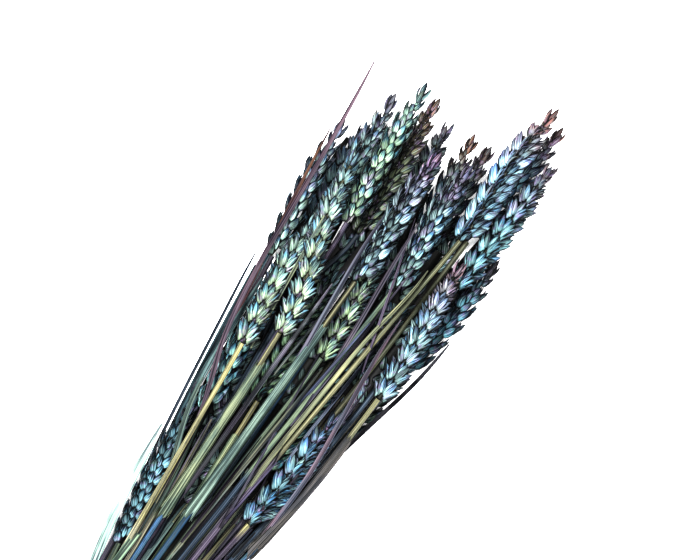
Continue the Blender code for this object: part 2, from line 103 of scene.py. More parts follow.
# Each ear's foot and tip as (along, across) from the tie, the height of its middle, and its turn:
# 0 shows both rows of spikelets from above, 90 shows one row face on.
EARS = [Ear(*row) for row in (
    ((278, 17), (343, 24), 40, 40),
    ((262, 32), (325, 36), 30, 75),
    ((208, 35), (273, 28), 35, 90),
    ((246, 14), (306, 10), 38, 10),
    ((241, -1), (302, -4), 40, 20),
    ((207, -14), (285, -31), 40, 90),
    ((258, -20), (322, -24), 34, 0),
    ((195, -24), (255, -29), 31, 90),
    ((164, -24), (227, -27), 24, 10),
    ((137, 21), (195, 21), 26, 60),
    ((156, 15), (216, 15), 20, 15),
    ((256, 9), (317, 3), 25, 0),
    ((257, -13), (320, -17), 22, 30),
    ((280, 25), (340, 31), 19, 10),
    ((248, -24), (312, -34), 21, 20),
    ((254, -4), (316, -9), 14, 60),
    ((258, 14), (318, 11), 8, 15),
    ((235, -26), (296, -37), 6, 70),
    ((208, 3), (267, 1), 24, 80),
    ((179, -6), (243, -9), 20, 45),
    ((222, 36), (281, 40), 19, 5),
    ((100, -19), (167, -27), 17, 5),
    ((136, -21), (195, -25), 6, 20),
    ((230, -34), (292, -41), 20, 0),
    ((202, 22), (260, 21), 10, 30),
    ((184, 30), (243, 33), 6, 10),
    ((116, 11), (176, 13), 6, 40),
    ((124, -4), (186, -3), 6, 80),
    ((212, -12), (272, -14), 6, 25),
)]

# Stems that a leaf sheath still wraps, by the ear's place in the list: from where to where.
SHEATHS = {4: (128, 215), 5: (122, 190), 19: (100, 160), 10: (95, 140), 2: (130, 185)}

# Leaf blades: the stalk that each grows from, its root along that stem, its tip and its height there.
BLADES = [Blade(*row) for row in (
    (7, 150, (317, -46), 42),
    (23, 185, (286, -46), 36),
    (23, 110, (230, -43), 20),
    (4, 190, (270, -8), 50),
    (3, 205, (275, 4), 49),
    (2, 125, (240, 21), 37),
    (8, 110, (176, -33), 32),
    (0, 140, (262, 14), 40),
    (18, 95, (206, 8), 36),
    (12, 120, (236, -9), 36),
    (13, 100, (212, 27), 32),
    (20, 135, (243, 43), 24),
    (21, 45, (150, -31), 17),
)]

# Places of the stems in the tie, row by row from the table up.
TIE_PLACES = [[((k - (count - 1) / 2.0) * TIE_PITCH, TIE_FLOOR + row * ROW_RISE) for k in range(count)]
              for row, count in enumerate(TIE_ROWS)]

rng = random.Random(11)

# Weights that read a line through the stations at each check.
READ = np.zeros((len(CHECKS), len(STATIONS)))
for row, x in enumerate(CHECKS):
    left = int(np.clip((x - STATIONS[0]) // STATION_STEP, 0, len(STATIONS) - 2))
    share = (x - STATIONS[left]) / STATION_STEP
    READ[row, left:left + 2] = 1.0 - share, share


def ear_radius(share):
    """Room that an ear needs round its axis, from its foot (0) to its tip (1)."""
    foot = 0.6 + 0.4 * min(1.0, share / 0.12)
    tip = 1.0 - 0.6 * max(0.0, (share - 0.68) / 0.32) ** 1.4
    return EAR_RADIUS * min(foot, tip)


def stalk_strand(ear, sheath):
    """The room that a stem and its ear take at each check."""
    start = -STEM_TAIL + rng.uniform(-CUT_UNEVENNESS, CUT_UNEVENNESS)
    radius = np.zeros(len(CHECKS))
    for k, x in enumerate(CHECKS):
        if x < start - 5.0 or x > ear.tip[0] + 2.0:
            continue
        if x < ear.base[0]:
            wrapped = sheath and sheath[0] - 3.0 <= x <= sheath[1] + 3.0
            radius[k] = SHEATH_RADIUS if wrapped else STEM_RADIUS
        else:
            radius[k] = ear_radius(min(1.0, (x - ear.base[0]) / (ear.tip[0] - ear.base[0])))
    mobility = np.where(CHECKS < ear.base[0] - 8.0, 1.0, EAR_MOBILITY)
    return Strand(start, ear.tip[0], ear.base[0], radius, mobility)


def blade_strand(blade):
    """The room that a leaf blade takes at each check."""
    radius = np.where((CHECKS >= blade.root) & (CHECKS <= blade.tip[0]), BLADE_CLEARANCE, 0.0)
    return Strand(blade.root, blade.tip[0], None, radius, np.full(len(CHECKS), BLADE_MOBILITY))


def share_places(ears):
    """Gives each stalk a place in the tie: low ears in the low rows, then from side to side."""
    by_height = sorted(range(len(ears)), key=lambda i: ears[i].height)
    place_of = {}
    for row in TIE_PLACES:
        members, by_height = by_height[:len(row)], by_height[len(row):]
        members.sort(key=lambda i: -ears[i].base[1])
        for stalk, place in zip(members, row):
            place_of[stalk] = place
    return [place_of[i] for i in range(len(ears))]


def read_at(path, x):
    """Where a line through the stations is at x, as (y, z)."""
    return np.array([np.interp(x, STATIONS, path[:, k]) for k in (0, 1)])


def first_paths(ears, blades, places):
    """Straight first guess of every strand, as (y, z) at each station."""
    paths = []
    for ear, place in zip(ears, places):
        know_x = [STATIONS[0], TIE_STATIONS[0], TIE_STATIONS[1], ear.base[0], ear.tip[0]]
        tail = (place[0] * TAIL_SPREAD, TIE_MIDDLE + (place[1] - TIE_MIDDLE) * TAIL_SPREAD)
        know_y = [tail[0], place[0], place[0], -ear.base[1], -ear.tip[1]]
        know_z = [tail[1], place[1], place[1], ear.height, ear.height]
        paths.append(np.stack([np.interp(STATIONS, know_x, know_y),
                               np.interp(STATIONS, know_x, know_z)], axis=1))
    for blade in blades:
        root = read_at(paths[blade.stalk], blade.root)
        tip = np.array([-blade.tip[1], blade.height])
        share = np.clip((STATIONS - blade.root) / (blade.tip[0] - blade.root), 0.0, 1.3)
        paths.append(root + share[:, None] * (tip - root))
    return np.array(paths)


def allowed_pairs(strands, blades):
    """Which strands must stay apart at each check: all but a blade and its stem near the root."""
    count = len(strands)
    apart = np.ones((count, count, len(CHECKS)), dtype=bool)
    apart[range(count), range(count)] = False
    for k, blade in enumerate(blades):
        i, j = count - len(blades) + k, blade.stalk
        near = np.abs(CHECKS - blade.root) < BLADE_ROOT_FREE
        apart[i, j, near] = False
        apart[j, i, near] = False
    return apart


def push_apart(places, radius, mobility, apart):
    """How far each strand has to move at each check to be clear of the others."""
    gap = places[:, None] - places[None, :]
    distance = np.maximum(np.linalg.norm(gap, axis=3), 1e-6)
    present = (radius[:, None] > 0.0) & (radius[None, :] > 0.0) & apart
    overlap = np.where(present, radius[:, None] + radius[None, :] + GAP - distance, 0.0)
    overlap = np.maximum(overlap, 0.0)
    share = mobility[:, None] / (mobility[:, None] + mobility[None, :])
    return (gap / distance[..., None] * (overlap * share)[..., None]).sum(axis=1)


def settle(ears, blades, strands):
    """Lets the strands shift until each lies free of the others and above the table."""
    places = share_places(ears)
    paths = first_paths(ears, blades, places)
    wanted = np.einsum("cs,nsk->nck", READ, paths)
    radius = np.array([s.radius for s in strands])
    mobility = np.array([s.mobility for s in strands])
    apart = allowed_pairs(strands, blades)
    floor = np.where(radius > SHEATH_RADIUS, radius - SINK, radius)
    tie = [int(np.argmin(np.abs(STATIONS - x))) for x in TIE_STATIONS]
    stalks = len(ears)
    held = paths[:stalks][:, tie].copy()
    hold = np.zeros((len(strands), len(CHECKS), 1))
    for i, strand in enumerate(strands):
        first = strand.ear_start if strand.ear_start else strand.end - 20.0
        hold[i, (CHECKS >= first) & (CHECKS <= strand.end)] = 1.0
    for step in range(SETTLE_ROUNDS):
        ease = max(0.0, 1.0 - step / (0.75 * SETTLE_ROUNDS))
        places_now = np.einsum("cs,nsk->nck", READ, paths)
        move = push_apart(places_now, radius, mobility, apart)
        move[..., 1] += np.maximum(0.0, floor - places_now[..., 1])
        move += (PULL_END + PULL * ease) * hold * (wanted - places_now)
        weight = READ.sum(axis=0)
        paths = paths + STRIDE * np.einsum("cs,nck->nsk", READ, move) / weight[None, :, None]
        bend = paths[:, :-2] - 2.0 * paths[:, 1:-1] + paths[:, 2:]
        paths[:, 1:-1] += (STIFFNESS_END + STIFFNESS * ease) * bend
        paths[:stalks, tie[0]] = held[:, 0]
        paths[:stalks, tie[1]] = held[:, 1]
        for k, blade in enumerate(blades):
            astray = read_at(paths[blade.stalk], blade.root) - read_at(paths[stalks + k], blade.root)
            near = np.exp(-((STATIONS - blade.root) / STATION_STEP) ** 2)
            paths[stalks + k] += near[:, None] * astray
    return paths


strands = [stalk_strand(ear, SHEATHS.get(i)) for i, ear in enumerate(EARS)]
strands += [blade_strand(blade) for blade in BLADES]
paths = settle(EARS, BLADES, strands)

BAND_HALF = (max(TIE_ROWS) - 1) / 2.0 * TIE_PITCH + STEM_RADIUS + TIE_GAP + TIE_THICKNESS
LAY = Vector((cad_low.x / MM - min(s.start for s in strands[:len(EARS)]),
              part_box("tie")[0].y / MM + BAND_HALF, 0.0))


def point_at(path, x):
    """A point of a strand at x, on a smooth curve through its stations."""
    k = int(np.clip((x - STATIONS[0]) // STATION_STEP, 0, len(STATIONS) - 2))
    t = (x - STATIONS[k]) / STATION_STEP
    before, here, there, after = (path[int(np.clip(k + d, 0, len(path) - 1))] for d in (-1, 0, 1, 2))
    slope = there - before
    bend = 2.0 * before - 5.0 * here + 4.0 * there - after
    swing = 3.0 * here - before - 3.0 * there + after
    y, z = 0.5 * (2.0 * here + slope * t + bend * t ** 2 + swing * t ** 3)
    return Vector((x, float(y), float(z)))


def turned(degrees, axis):
    """A matrix that turns things about an axis."""
    return Matrix.Rotation(math.radians(degrees), 4, axis)


def widened(wide, high):
    """A matrix that widens a section both ways."""
    return Matrix.Diagonal((wide, high, 1.0, 1.0))


def stand_at(side, up, ahead, spot):
    """A matrix with its x, y and z along three ways, at a spot."""
    place = Matrix((side, up, ahead)).transposed().to_4x4()
    place.translation = spot
    return place


def set_at(path, x, turn=0.0, reach=6.0):
    """A matrix that stands upright things along a strand: its z is the strand, its x and y go across."""
    ahead = (point_at(path, x + reach) - point_at(path, x - reach)).normalized()
    side = Vector((0.0, 0.0, 1.0)).cross(ahead).normalized()
    return stand_at(side, ahead.cross(side), ahead, point_at(path, x)) @ turned(turn, "Z")


def tint(red, green, blue):
    """A colour as the eye reads it, 0 to 255, for a shader."""
    return Color((red / 255.0, green / 255.0, blue / 255.0)).from_srgb_to_scene_linear()


def new_sheaf():
    """An empty bmesh whose points carry their dye and their place in the grain."""
    bm = bmesh.new()
    for name in ("dye", "wash"):
        bm.verts.layers.float_color.new(name)
    bm.verts.layers.float_vector.new("grain")
    return bm


def stain(bm, verts, dye, wash, grain=None):
    """Colours points of a piece, and gives them their place in the grain."""
    layers = bm.verts.layers
    for v in verts:
        v[layers.float_color["dye"]] = (*dye, 1.0)
        v[layers.float_color["wash"]] = (*wash, 1.0)
        if grain:
            v[layers.float_vector["grain"]] = grain


def stain_ring(bm, ring, dye, wash, x):
    """Colours a ring of points, with the grain wrapped round it, x along it."""
    for k, v in enumerate(ring):
        angle = 2.0 * math.pi * k / len(ring)
        stain(bm, [v], dye, wash, (math.cos(angle), math.sin(angle), x))


def new_ring(bm, sides):
    """A ring of points round the origin, the section of a piece that is drawn out along its path."""
    return bmesh.ops.create_circle(bm, segments=sides, radius=1.0)["verts"]


def sweep(bm, section, stops):
    """Draws a section's edges out through the stops, each a matrix, and gives the points of every ring."""
    edges = list(dict.fromkeys(e for v in section for e in v.link_edges))
    bmesh.ops.transform(bm, matrix=stops[0], verts=section)
    rings = [section]
    for before, here in zip(stops, stops[1:]):
        grown = bmesh.ops.extrude_edge_only(bm, edges=edges)["geom"]
        edges = [g for g in grown if isinstance(g, bmesh.types.BMEdge) and
                 all(v not in rings[-1] for v in g.verts)]
        ring = [g for g in grown if isinstance(g, bmesh.types.BMVert)]
        bmesh.ops.transform(bm, matrix=here @ before.inverted(), verts=ring)
        rings.append(ring)
    return rings


def close_ends(bm):
    """Fills the open ends of what was drawn out."""
    bmesh.ops.holes_fill(bm, edges=[e for e in bm.edges if e.is_boundary], sides=0)


def add_to_scene(name, data):
    """An object of a mesh, a lamp or a camera, linked to the scene."""
    thing = bpy.data.objects.new(name, data)
    bpy.context.scene.collection.objects.link(thing)
    return thing


def set_down(name, bm, finish, slot, *nodes):
    """Makes a piece of a bmesh, in the frame's place and metres, for the CAD nodes that it stands for."""
    bmesh.ops.recalc_face_normals(bm, faces=bm.faces)
    bmesh.ops.translate(bm, vec=LAY, verts=bm.verts)
    for v in bm.verts:
        v.co.z = max(v.co.z, 0.0)
    bmesh.ops.scale(bm, vec=(MM, MM, MM), verts=bm.verts)
    mesh = bpy.data.meshes.new(name)
    bm.to_mesh(mesh)
    bm.free()
    mesh.shade_smooth()
    mesh.set_sharp_from_angle(angle=math.radians(SHARP_ANGLE))
    mesh.materials.append(finish)
    piece = add_to_scene(name, mesh)
    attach(piece, "root")
    if nodes:
        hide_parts(*nodes)


class Wire:
    """A value inside a finish, from a node's socket, on which sums can be written out."""

    def __init__(self, socket):
        self.socket = socket

    def node(self, kind, settings, inputs, output=0):
        """Adds a node of a kind to the finish, sets it up, feeds its sockets, and gives one output."""
        tree = self.socket.id_data
        made = tree.nodes.new(kind)
        for name, value in settings.items():
            setattr(made, name, value)
        for key, value in inputs.items():
            if isinstance(value, Wire):
                tree.links.new(value.socket, made.inputs[key])
            else:
                made.inputs[key].default_value = value
        return Wire(made.outputs[output])

    def sum(self, operation, first, second=0.0):
        return self.node("ShaderNodeMath", {"operation": operation}, {0: first, 1: second})

    def __add__(self, other):
        return self.sum("ADD", self, other)

    def __radd__(self, other):
        return self.sum("ADD", other, self)

    def __sub__(self, other):
        return self.sum("SUBTRACT", self, other)

    def __rsub__(self, other):
        return self.sum("SUBTRACT", other, self)

    def __mul__(self, other):
        return self.sum("MULTIPLY", self, other)

    def __rmul__(self, other):
        return self.sum("MULTIPLY", other, self)

    def __abs__(self):
        return self.sum("ABSOLUTE", self)

    def between(self, low, high):
        """0 below low, 1 above high, and a soft step in between; low may be the greater."""
        if low > high:
            return 1.0 - self.between(high, low)
        inputs = {"Value": self, "From Min": low, "From Max": high}
        return self.node("ShaderNodeMapRange", {"interpolation_type": "SMOOTHSTEP"}, inputs)

    def mix(self, first, second, way="MIX"):
        """Goes from the first colour to the second as this value goes from 0 to 1."""
        settings = {"data_type": "RGBA", "blend_type": way, "clamp_result": False}
        return self.node("ShaderNodeMix", settings, {0: self, 6: first, 7: second}, 2)

    def stretch(self, x, y, z):
        """This vector, longer or shorter each way."""
        return self.node("ShaderNodeVectorMath", {"operation": "MULTIPLY"}, {0: self, 1: (x, y, z)})

    def noise(self, scale, detail=2.0, roughness=0.5):
        """A cloudy pattern from 0 to 1 over this vector."""
        inputs = {"Vector": self, "Scale": scale, "Detail": detail, "Roughness": roughness}
        return self.node("ShaderNodeTexNoise", {}, inputs, "Fac")

    def deepen(self, power):
        """This colour, its darks made darker."""
        return self.node("ShaderNodeGamma", {}, {"Color": self, "Gamma": power})

    def split(self):
        """The three numbers of this vector."""
        return [self.node("ShaderNodeSeparateXYZ", {}, {0: self}, k) for k in (0, 1, 2)]

    def feed(self, shader, socket):
        self.socket.id_data.links.new(self.socket, shader.inputs[socket])


def new_finish(name, specular=0.5):
    """A material, its shader, and a wire to start from."""
    finish = bpy.data.materials.new(name)
    finish.use_nodes = True
    shader = finish.node_tree.nodes["Principled BSDF"]
    shader.inputs["Specular IOR Level"].default_value = specular
    return finish, shader, Wire(shader.outputs[0])


def read_stain(start):
    """The place in the grain, the dye and the wash that stain() gave the points."""
    layers = (("grain", "Vector"), ("dye", "Color"), ("wash", "Color"))
    return [start.node("ShaderNodeAttribute", {"attribute_name": name}, {}, kind) for name, kind in layers]


def roughen(start, shader, height, strength, distance):
    """Feeds a height into the shader's normal."""
    inputs = {"Height": height, "Strength": strength, "Distance": distance}
    start.node("ShaderNodeBump", {}, inputs).feed(shader, "Normal")


straw, shader, start = new_finish("straw", 0.3)
grain, dye, wash = read_stain(start)
ribs = grain.stretch(3.2, 3.2, 0.012).noise(1.0, 3.0, 0.6)
stain_cloud = grain.stretch(0.6, 0.6, 0.035).noise(1.0, 3.0, 0.65)
flecks = grain.stretch(3.0, 3.0, 0.25).noise(1.0, 2.0)
colour = stain_cloud.between(0.42, 0.62).mix(dye, wash)
colour = ribs.between(0.43, 0.57).mix(colour, (0.30, 0.31, 0.33, 1.0), "MULTIPLY")
colour = (flecks.between(0.60, 0.70) * 0.6).mix(colour, (0.22, 0.19, 0.16, 1.0), "MULTIPLY")
colour.deepen(1.15).feed(shader, "Base Color")
(0.42 + ribs * 0.25).feed(shader, "Roughness")
roughen(start, shader, ribs, 0.8, 0.0003)

STRAW_SIDES = 12
STRAW_STEP = 6.0
WALL = 0.45  # thickness of the straw's wall, seen at its cut end
BORE_DEPTH = 6.0
# The bottom of the bore is painted near black: painted shade down the hollow straw.
BORE_PAINTED_SHADE = (0.02, 0.02, 0.02)
JOINT_SPANS = ((-95.0, -40.0), (25.0, 85.0))
JOINT_RINGS = (-2.4, -1.2, 0.0, 1.2, 2.4)
# Painted shade: the straws of stalks that lie low in the bunch are made darker, the lower the darker.
DEEP_SHADE, TOP_HEIGHT = 0.38, 32.0  # straws get lighter, from this shade up to this height
STRAW_TINTS = {
    "olive": (tint(140, 138, 114), tint(112, 116, 98)),
    "golden": (tint(170, 167, 148), tint(144, 142, 124)),
    "blue": (tint(80, 108, 132), tint(92, 116, 124)),
    "mauve": (tint(108, 100, 114), tint(86, 84, 98)),
    "beige": (tint(174, 170, 136), tint(138, 136, 114)),
    "sage": (tint(126, 138, 120), tint(98, 114, 106)),
    "slate": (tint(84, 98, 112), tint(66, 80, 92)),
}
# Some straws took another dye below a joint or a sheath: by the ear's place in the list, below what x.
LOWER_DYES = {0: (168, "mauve"), 1: (185, "slate"), 2: (134, "blue"), 3: (155, "slate"), 4: (132, "blue"),
              5: (126, "blue"), 7: (116, "golden"), 8: (118, "golden"), 9: (130, "mauve"),
              10: (120, "slate"), 13: (150, "mauve"), 19: (104, "golden"), 21: (60, "golden"),
              24: (150, "slate")}
STRAW_OF = """olive slate olive sage olive olive mauve beige sage beige olive mauve slate olive slate blue
              olive slate sage beige slate sage blue mauve olive slate golden blue olive""".split()


def straw_size(x, start, last, joints):
    """A straw's radius at x: it thins towards the neck, and swells at its joints."""
    share = (x - start) / (last - start)
    size = STEM_RADIUS * (0.94 - 0.26 * share ** 2)
    swell = max((math.exp(-((x - joint) / 1.6) ** 2) for joint in joints), default=0.0)
    return min(size * (1.0 + 0.30 * swell), STEM_RADIUS * 1.08)


for i, strand in enumerate(strands[:len(EARS)]):
    last = strand.ear_start + 1.0
    joints = [rng.uniform(*span) for span in JOINT_SPANS]
    stops = list(np.arange(strand.start + STRAW_STEP, last - 1.0, STRAW_STEP)) + [strand.start, last]
    for joint in joints:
        stops += [joint + d for d in JOINT_RINGS]
    stops.sort()
    sizes = [straw_size(x, strand.start, last, joints) for x in stops]
    bm = new_sheaf()
    frames = [set_at(paths[i], x) @ widened(r, r) for x, r in zip(stops, sizes)]
    rings = sweep(bm, new_ring(bm, STRAW_SIDES), frames)
    # Each straw's tone varies at random, times the painted shade for how low its stalk lies.
    shade = rng.uniform(0.75, 1.1) * (DEEP_SHADE + (1.0 - DEEP_SHADE) * min(1.0, EARS[i].height / TOP_HEIGHT))
    for x, ring in zip(stops, rings):
        turn_x, lower = LOWER_DYES.get(i, (-200.0, ""))
        dye_now, wash_now = STRAW_TINTS[lower if x < turn_x else STRAW_OF[i]]
        joint = max(math.exp(-((x - j) / 1.8) ** 2) for j in joints)
        dark = shade * (1.0 - 0.55 * joint)
        stain_ring(bm, ring, [c * dark for c in dye_now], [c * dark for c in wash_now], x + 700.0 * i)
    for ring in (rings[0], rings[-1]):
        edges = [e for v in ring for e in v.link_edges if e.is_boundary]
        bmesh.ops.holes_fill(bm, edges=list(dict.fromkeys(edges)), sides=0)
    cut = [f for f in rings[0][0].link_faces if len(f.verts) == STRAW_SIDES]
    bmesh.ops.inset_region(bm, faces=cut, thickness=WALL)
    bore = bmesh.ops.extrude_discrete_faces(bm, faces=cut)["faces"]
    bmesh.ops.translate(bm, vec=(BORE_DEPTH, 0.0, 0.0), verts=bore[0].verts)
    stain(bm, bore[0].verts, BORE_PAINTED_SHADE, BORE_PAINTED_SHADE)
    set_down(f"straw_{i + 1:02d}", bm, straw, "straw", f"stem_{i + 1:02d}")

# Ears: each is a bread wheat's ear without awns. A flat zigzag axis carries spikelets left and right in
# turn, and each spikelet is a fan of dry, boat-shaped husks with a keel and a short beak. The dye took
# unevenly: teal and blue on the husks, cream-green at their feet, brown or lilac towards the tip.

SPIKELET_PITCH = 3.9
SPIKELET_LENGTH = 11.0
EAR_FOOT = 1.5
AXIS_SIDES = 8
END_HUSKS = 6
Husk = namedtuple("Husk", "foot tilt lean roll length width")
# The husks of a spikelet, outer ones first: sizes in millimetres, turns in degrees.
SPIKELET = [Husk(*row) for row in (
    ((-1.9, 0.9, -0.4), -36.0, 12.0, -52.0, 7.2, 1.85),
    ((1.9, 0.9, -0.4), 36.0, 12.0, 52.0, 7.2, 1.85),
    ((-1.3, 1.2, 0.6), -29.0, 17.0, -32.0, 8.2, 1.6),
    ((1.3, 1.2, 0.6), 29.0, 17.0, 32.0, 8.2, 1.6),
    ((-0.9, 1.5, 1.6), -18.0, 20.0, -20.0, 8.3, 1.5),
    ((0.9, 1.5, 2.1), 19.0, 19.0, 20.0, 8.2, 1.5),
    ((-0.5, 1.5, 3.2), -7.0, 17.0, -8.0, 7.2, 1.3),
    ((-1.3, 0.4, 2.0), -31.0, 4.0, -85.0, 7.4, 1.35),
    ((1.3, 0.4, 2.4), 31.0, 4.0, 85.0, 7.4, 1.35),
    ((0.0, 0.5, 2.6), 0.0, 6.0, 4.0, 7.8, 1.3),
)]
# Husk along its length: share of the length, of the width, and of the boat's bow outwards.
HUSK_RINGS = ((0.0, 0.34, 0.0), (0.10, 0.76, 0.30), (0.28, 1.0, 0.75), (0.50, 0.97, 1.0),
              (0.70, 0.78, 0.95), (0.84, 0.48, 0.78), (0.93, 0.20, 0.62), (1.0, 0.04, 0.58))
HUSK_DEPTH = 0.68
HUSK_BOW = 0.62
# The boat's cross-section: a keeled outer side, and a hollow inner side.
HUSK_SECTION = ((1.0, 0.0), (0.76, 0.66), (0.0, 1.12), (-0.76, 0.66), (-1.0, 0.0), (-0.62, 0.20),
                (0.0, 0.42), (0.62, 0.20))

husk_finish, shader, start = new_finish("dyed_husk", 0.25)
grain, dye, wash = read_stain(start)
across, along, seed = grain.split()
place = start.node("ShaderNodeTexCoord", {}, {}, "Object")
veins = grain.stretch(4.5, 0.6, 31.0).noise(1.0, 2.0, 0.6)
cloud = place.noise(160.0, 3.0, 0.6)
bloom = place.noise(330.0, 2.0, 0.6)
feet = (along + (veins - 0.5) * 0.7 + (cloud - 0.5) * 0.9).between(0.66, 0.24)
colour = feet.mix(dye, wash)
colour = (bloom.between(0.53, 0.66) * 0.5).mix(colour, (0.22, 0.15, 0.27, 1.0))
colour = (cloud.between(0.57, 0.66) * 0.4).mix(colour, (0.36, 0.27, 0.40, 1.0))
stripes = veins.between(0.47, 0.57) * (0.55 + along.between(0.15, 0.60) * 0.4)
colour = stripes.mix(colour, (0.14, 0.18, 0.24, 1.0), "MULTIPLY")
colour = (along.between(0.55, 0.95) * 0.45).mix(colour, (0.22, 0.24, 0.30, 1.0), "MULTIPLY")
# A painted highlight along the keel.
colour = (abs(across).between(0.16, 0.02) * 0.5).mix(colour, (0.29, 0.37, 0.35, 1.0), "SCREEN")
# Near-black edges: painted shade where the husks overlap, with some dye pooled there too.
colour = abs(across).between(0.64, 0.93).mix(colour, (0.02, 0.025, 0.035, 1.0), "MULTIPLY")
colour = (along.between(0.88, 0.99) * 0.7).mix(colour, (0.05, 0.034, 0.030, 1.0))
# Near black at the foot: painted shade where the husk is tucked under the others, with some dye pooled there
# too.
colour = along.between(0.13, 0.01).mix(colour, (0.006, 0.007, 0.007, 1.0))
colour.deepen(1.1).feed(shader, "Base Color")
(0.42 + veins * 0.3).feed(shader, "Roughness")
roughen(start, shader, veins + abs(across).between(0.2, 0.0) * 0.5, 0.8, 0.0005)

HUSK_SHADES = (0.6, 0.8, 1.0, 1.1, 1.2)
HUSK_FADES = (0.0, 0.0, 0.1, 0.4, 0.75)  # how far the foot's colour takes over
# Dyes by ear: the husks, their feet, and the tip of the ear. Ears that lie low in the bunch get darker tints,
# which is painted shade on top of their dye.
EAR_TINTS = [[tint(*colour) for colour in row] for row in (
    ((122, 140, 160), (148, 178, 186), (156, 126, 124)),
    ((104, 138, 150), (142, 176, 178), (128, 120, 128)),
    ((116, 144, 158), (154, 176, 174), (158, 138, 146)),
    ((104, 136, 150), (148, 170, 166), (120, 114, 128)),
    ((116, 138, 152), (148, 168, 168), (138, 122, 142)),
    ((126, 158, 164), (170, 182, 160), (134, 160, 166)),
    ((116, 150, 152), (160, 180, 156), (128, 150, 148)),
    ((116, 152, 158), (164, 178, 156), (122, 146, 150)),
    ((94, 136, 150), (154, 190, 184), (118, 142, 148)),
    ((94, 132, 152), (134, 162, 166), (96, 110, 128)),
    ((90, 140, 148), (160, 188, 166), (110, 138, 146)),
    ((76, 92, 108), (124, 144, 144), (116, 92, 80)),
    ((74, 86, 86), (116, 124, 104), (124, 100, 84)),
    ((90, 106, 122), (116, 148, 158), (122, 102, 102)),
    ((106, 134, 144), (156, 180, 172), (114, 116, 128)),
    ((70, 90, 98), (112, 132, 124), (84, 84, 92)),
    ((64, 82, 98), (108, 126, 124), (100, 86, 84)),
    ((84, 108, 120), (122, 144, 142), (92, 100, 114)),
    ((104, 134, 134), (154, 170, 142), (114, 132, 130)),
    ((64, 98, 100), (124, 146, 120), (72, 90, 92)),
    ((62, 82, 96), (98, 138, 146), (72, 72, 80)),
    ((50, 78, 92), (124, 154, 160), (66, 86, 98)),
    ((50, 84, 92), (98, 132, 122), (60, 76, 84)),
    ((114, 136, 150), (160, 182, 174), (116, 124, 136)),
    *5 * [((66, 88, 96), (112, 134, 126), (78, 84, 90))],
)]

# One husk, 1 long and 1 to each side, stands on the origin with its keel towards +y.
bm = new_sheaf()
section = new_ring(bm, len(HUSK_SECTION))
for v, corner in zip(section, HUSK_SECTION):
    v.co = (corner[0], corner[1], 0.0)
stops = []
for share, width, bow in HUSK_RINGS:
    stops.append(Matrix.Translation((0.0, HUSK_BOW * bow, share)) @ widened(width, HUSK_DEPTH * width))
for (share, _, _), ring in zip(HUSK_RINGS, sweep(bm, section, stops)):
    for v, corner in zip(ring, HUSK_SECTION):
        v[bm.verts.layers.float_vector["grain"]] = (corner[0], share, 0.0)
close_ends(bm)
bmesh.ops.recalc_face_normals(bm, faces=bm.faces)
husk_mesh = bpy.data.meshes.new("husk")
bm.to_mesh(husk_mesh)
bm.free()


def add_husk(bm, spot, husk, size, dye_now, wash_now):
    """Sets one husk of a spikelet, a little out of true."""
    first = len(bm.verts)
    bm.from_mesh(husk_mesh)
    bm.verts.ensure_lookup_table()
    verts = bm.verts[first:]
    length = husk.length * size * rng.uniform(0.93, 1.05)
    width = husk.width * size * rng.uniform(0.9, 1.08)
    turn = (turned(husk.tilt + rng.uniform(-4.0, 4.0), "Y") @
            turned(-husk.lean + rng.uniform(-3.0, 3.0), "X") @
            turned(husk.roll + rng.uniform(-8.0, 8.0), "Z"))
    place = spot @ Matrix.Translation(Vector(husk.foot) * size) @ turn
    bmesh.ops.transform(bm, matrix=place @ Matrix.Diagonal((width, width, length, 1.0)), verts=verts)
    shade = rng.choice(HUSK_SHADES) * rng.uniform(0.9, 1.1)
    drift = rng.uniform(-0.16, 0.16)
    faded = rng.choice(HUSK_FADES)
    red, green, blue = [a + (b - a) * faded for a, b in zip(dye_now, wash_now)]
    dye_now = (red * shade * (1.0 + drift), green * shade, blue * shade * (1.0 - drift))
    wash_now = [c * shade for c in wash_now]
    seed = rng.uniform(0.0, 40.0)
    grain = bm.verts.layers.float_vector["grain"]
    for v in verts:
        stain(bm, [v], dye_now, wash_now, (v[grain].x, v[grain].y, seed))


